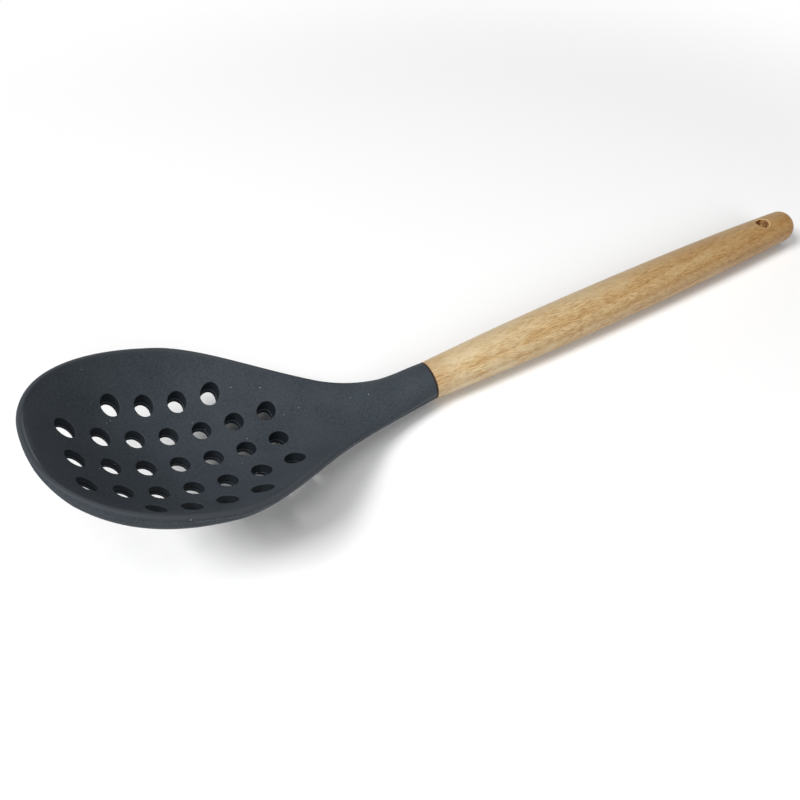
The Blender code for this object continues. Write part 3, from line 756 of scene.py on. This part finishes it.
    # pores, larger in the early wood of each ring
    pores = addNode(tree, "ShaderNodeTexVoronoi", {"Scale": 1}, {"Vector": along(wood["poreCell"])})
    size = addNode(tree, "ShaderNodeMapRange",
                   {"To Min": wood["poreSize"], "To Max": wood["poreSize"] * wood["lateSize"]},
                   {"Value": rings.outputs["Fac"]})
    depth = addNode(tree, "ShaderNodeMath", {"operation": "SUBTRACT"},
                    {0: size.outputs["Result"], 1: pores.outputs["Distance"]})
    pore = addNode(tree, "ShaderNodeMapRange", {"From Max": wood["poreSize"] / 2, "To Max": wood["poreShare"]},
                   {"Value": depth.outputs["Value"]})
    pitted = addNode(tree, "ShaderNodeMix", {"data_type": "RGBA", mixTo: linear(wood["pore"])},
                     {mixFactor: pore.outputs["Result"], mixFrom: lipHighlightOrJointTone.outputs[mixResult]})

    # the dark line at the joint, then a painted highlight on the hanging hole's eased rim, and its torn bore
    lineEnd = wood["jointLineWidth"] * mm
    atLine = addNode(tree, "ShaderNodeMapRange",
                     {"From Min": handleLow.x + lineEnd, "From Max": handleLow.x + lineEnd / 2},
                     {"Value": axes.outputs["X"]})
    lined = addNode(tree, "ShaderNodeMix", {"data_type": "RGBA", mixTo: linear(wood["jointLine"])},
                    {mixFactor: atLine.outputs["Result"], mixFrom: pitted.outputs[mixResult]})
    holeX = handleHigh.x - handle["holeFromEnd"] * mm
    fromHole = addNode(tree, "ShaderNodeVectorMath", {"operation": "SUBTRACT", 1: (holeX, 0, 0)}, {0: place})
    level = addNode(tree, "ShaderNodeVectorMath", {"operation": "MULTIPLY", 1: (1, 1, 0)},
                    {0: fromHole.outputs["Vector"]})
    reach = addNode(tree, "ShaderNodeVectorMath", {"operation": "LENGTH"}, {0: level.outputs["Vector"]})
    outside, inside = ((handle["hole"] + out) * mm for out in wood["holeHighlightRange"])
    onHoleHighlight = addNode(tree, "ShaderNodeMapRange", {"From Min": outside, "From Max": inside},
                    {"Value": reach.outputs["Value"]})
    eased = addNode(tree, "ShaderNodeMix", {"data_type": "RGBA", mixTo: linear(wood["holeHighlight"])},
                    {mixFactor: onHoleHighlight.outputs["Result"], mixFrom: lined.outputs[mixResult]})
    torn = addNode(tree, "ShaderNodeTexNoise", {"Scale": per(wood["tear"]), "Detail": 2}, {"Vector": place})
    darkStop, lightStop = wood["tearStops"]
    drilled = addNode(tree, "ShaderNodeValToRGB", links={"Fac": torn.outputs["Fac"]},
                      stops=[(darkStop, wood["holeDark"]), (lightStop, wood["holeLight"])])
    outside, inside = ((handle["hole"] + out) * mm for out in wood["boreRange"])
    inHole = addNode(tree, "ShaderNodeMapRange", {"From Min": outside, "From Max": inside},
                     {"Value": reach.outputs["Value"]})
    bored = addNode(tree, "ShaderNodeMix", {"data_type": "RGBA"},
                    {mixFactor: inHole.outputs["Result"], mixFrom: eased.outputs[mixResult],
                     mixTo: drilled.outputs["Color"]})
    tree.links.new(bored.outputs[mixResult], shader.inputs["Base Color"])

    low, high = wood["roughness"]
    rough = addNode(tree, "ShaderNodeMapRange", {"To Min": low, "To Max": high}, {"Value": fibre.outputs["Fac"]})
    tree.links.new(rough.outputs["Result"], shader.inputs["Roughness"])
    fibres = addNode(tree, "ShaderNodeBump", {"Strength": wood["fibreBump"], "Distance": wood["fibreDepth"] * mm},
                     {"Height": fibre.outputs["Fac"]})
    pits = addNode(tree, "ShaderNodeBump",
                   {"Strength": wood["poreBump"], "Distance": wood["poreDepth"] * mm, "invert": True},
                   {"Height": pore.outputs["Result"], "Normal": fibres.outputs["Normal"]})
    tree.links.new(pits.outputs["Normal"], shader.inputs["Normal"])
    shader.inputs["IOR"].default_value = wood["ior"]
    shader.inputs["Specular IOR Level"].default_value = wood["gloss"]
    shader.inputs["Coat Weight"].default_value = wood["oil"]
    shader.inputs["Coat Roughness"].default_value = wood["oilRoughness"]
    return material


# Nylon from a mould and epoxy that cured in the bore: smooth resins with soft swirls from how they flowed
nylon = {"dark": "17181a", "light": "222326", "flow": 6, "roughness": 0.45, "ior": 1.53}
epoxy = {"dark": "b89a62", "light": "d2b67e", "flow": 3, "roughness": 0.3, "ior": 1.55}
resin = {"stops": (0.3, 0.7), "bump": 0.3, "bumpDepth": 0.02}


def flowedResin(name, finish):
    material, tree, shader = newMaterial(name)
    place = addNode(tree, "ShaderNodeTexCoord").outputs["Object"]
    flow = addNode(tree, "ShaderNodeTexNoise", {"Scale": per(finish["flow"]), "Detail": 3}, {"Vector": place})
    darkStop, lightStop = resin["stops"]
    colour = addNode(tree, "ShaderNodeValToRGB", links={"Fac": flow.outputs["Fac"]},
                     stops=[(darkStop, finish["dark"]), (lightStop, finish["light"])])
    tree.links.new(colour.outputs["Color"], shader.inputs["Base Color"])
    bump = addNode(tree, "ShaderNodeBump", {"Strength": resin["bump"], "Distance": resin["bumpDepth"] * mm},
                   {"Height": flow.outputs["Fac"]})
    tree.links.new(bump.outputs["Normal"], shader.inputs["Normal"])
    shader.inputs["Roughness"].default_value = finish["roughness"]
    shader.inputs["IOR"].default_value = finish["ior"]
    return material


def dress(thing, *materials):
    finishes = thing.data.materials  # clearing them would also reset which face takes which
    for place, material in enumerate(materials):
        if place < len(finishes):
            finishes[place] = material
        else:
            finishes.append(material)


# Studio, in metres: a white floor, a sky that is white where it is seen but gives little light, and three soft
# lamps, each with bearing, height angle, power and side

studio = {
    "floor": "f8f8f8", "floorRoughness": 0.9, "floorSide": 1.6, "floorGap": 0.2 * mm, "fade": (0.24, 0.45),
    "sky": "ffffff", "skyStrength": 0.03, "seenStrength": 1,
    "lamps": {"left softbox": (180, 52, 35.0, 0.7), "overhead softbox": (270, 80, 10.5, 1.1),
              "front fill": (270, 34, 15.0, 1.1)},
    "lampDistance": 2.0, "lampAim": (-0.05, 0, 0.03), "lampColour": "ffffff",
}


def seenRays(tree):  # one for rays from the camera, a reflection or clear material, nought for lighting rays
    path = addNode(tree, "ShaderNodeLightPath")
    mirrored = addNode(tree, "ShaderNodeMath", {"operation": "MAXIMUM"},
                       {0: path.outputs["Is Glossy Ray"], 1: path.outputs["Is Transmission Ray"]})
    seen = addNode(tree, "ShaderNodeMath", {"operation": "MAXIMUM"},
                   {0: path.outputs["Is Camera Ray"], 1: mirrored.outputs["Value"]})
    return seen.outputs["Value"]


def whiteCard():  # matt card that keeps the shadow near the object, and fades into the white sky further out
    material, tree, shader = newMaterial("matt white card")
    shader.inputs["Base Color"].default_value = linear(studio["floor"])
    shader.inputs["Roughness"].default_value = studio["floorRoughness"]
    place = addNode(tree, "ShaderNodeTexCoord").outputs["Object"]
    reach = addNode(tree, "ShaderNodeVectorMath", {"operation": "LENGTH"}, {0: place})
    nearEnd, farEnd = studio["fade"]
    fade = addNode(tree, "ShaderNodeMapRange",
                   {"interpolation_type": "SMOOTHSTEP", "From Min": nearEnd, "From Max": farEnd},
                   {"Value": reach.outputs["Value"]})
    amount = addNode(tree, "ShaderNodeMath", {"operation": "MULTIPLY"},
                     {0: fade.outputs["Result"], 1: seenRays(tree)})
    white = addNode(tree, "ShaderNodeEmission",
                    {"Color": linear(studio["sky"]), "Strength": studio["seenStrength"]})
    mixed = addNode(tree, "ShaderNodeMixShader", None,
                    {0: amount.outputs["Value"], 1: shader.outputs["BSDF"], 2: white.outputs["Emission"]})
    tree.links.new(mixed.outputs["Shader"], tree.nodes["Material Output"].inputs["Surface"])
    return material


def makeStudio():
    half = studio["floorSide"] / 2
    level = cadLow.z - studio["floorGap"]
    corners = [(-half, -half, level), (half, -half, level), (half, half, level), (-half, half, level)]
    mesh = bpy.data.meshes.new("floor")
    mesh.from_pydata(corners, [], [(0, 1, 2, 3)])
    floor = bpy.data.objects.new("floor", mesh)
    bpy.context.scene.collection.objects.link(floor)
    dress(floor, whiteCard())

    world = bpy.data.worlds.new("studio sky")
    world.use_nodes = True
    sky = world.node_tree.nodes["Background"]
    sky.inputs["Color"].default_value = linear(studio["sky"])
    strength = addNode(world.node_tree, "ShaderNodeMapRange",
                       {"To Min": studio["skyStrength"], "To Max": studio["seenStrength"]},
                       {"Value": seenRays(world.node_tree)})
    world.node_tree.links.new(strength.outputs["Result"], sky.inputs["Strength"])
    bpy.context.scene.world = world

    for name, (bearing, height, power, side) in studio["lamps"].items():
        lamp = bpy.data.lights.new(name, "AREA")
        lamp.shape = "SQUARE"
        lamp.size = side
        lamp.energy = power
        lamp.color = linear(studio["lampColour"])[:3]
        softbox = bpy.data.objects.new(name, lamp)
        turn, climb = math.radians(bearing), math.radians(height)
        outward = Vector((math.cos(climb) * math.cos(turn), math.cos(climb) * math.sin(turn), math.sin(climb)))
        softbox.location = Vector(studio["lampAim"]) + studio["lampDistance"] * outward
        softbox.rotation_euler = outward.to_track_quat("Z", "Y").to_euler()
        bpy.context.scene.collection.objects.link(softbox)


# Camera: its place in millimetres from the rim's origin, its heading from +Y towards +X, down and roll in degrees

view = {
    "place": (-25.06, -194.76, 222.87), "heading": 29.5, "down": 49.355, "roll": -0.673,
    "lens": 36.25, "sensor": 36, "clipStart": 0.01,
}


def makeCamera():
    heading, down, roll = (math.radians(view[name]) for name in ("heading", "down", "roll"))
    forward = Vector((math.sin(heading) * math.cos(down), math.cos(heading) * math.cos(down), -math.sin(down)))
    level = Vector((math.cos(heading), -math.sin(heading), 0))
    right = level * math.cos(roll) + level.cross(forward) * math.sin(roll)
    turn = Matrix((right, right.cross(forward), -forward)).transposed()
    lens = bpy.data.cameras.new("camera")
    lens.lens = view["lens"]
    lens.sensor_width = view["sensor"]
    lens.clip_start = view["clipStart"]
    camera = bpy.data.objects.new("camera", lens)
    camera.matrix_world = Matrix.Translation(rimOrigin + Vector(view["place"]) * mm) @ turn.to_4x4()
    bpy.context.scene.collection.objects.link(camera)
    bpy.context.scene.camera = camera


dress(makeHead(), mouldedSilicone("silicone moulded on blasted steel", silicone),
      mouldedSilicone("silicone hole walls with painted shade", shadedHoleSilicone),
      mouldedSilicone("silicone mould line with painted highlight", lineHighlightSilicone))
print("head made")
dress(makeHandle(), oiledHardwood())
print("handle made")
dress(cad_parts["nylon_core"], flowedResin("moulded black nylon", nylon))
dress(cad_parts["epoxy_bond"], flowedResin("cured amber epoxy", epoxy))
print("core and glue dressed")
makeStudio()
makeCamera()
bpy.context.scene.view_settings.view_transform = "Standard"
print("studio and camera set")
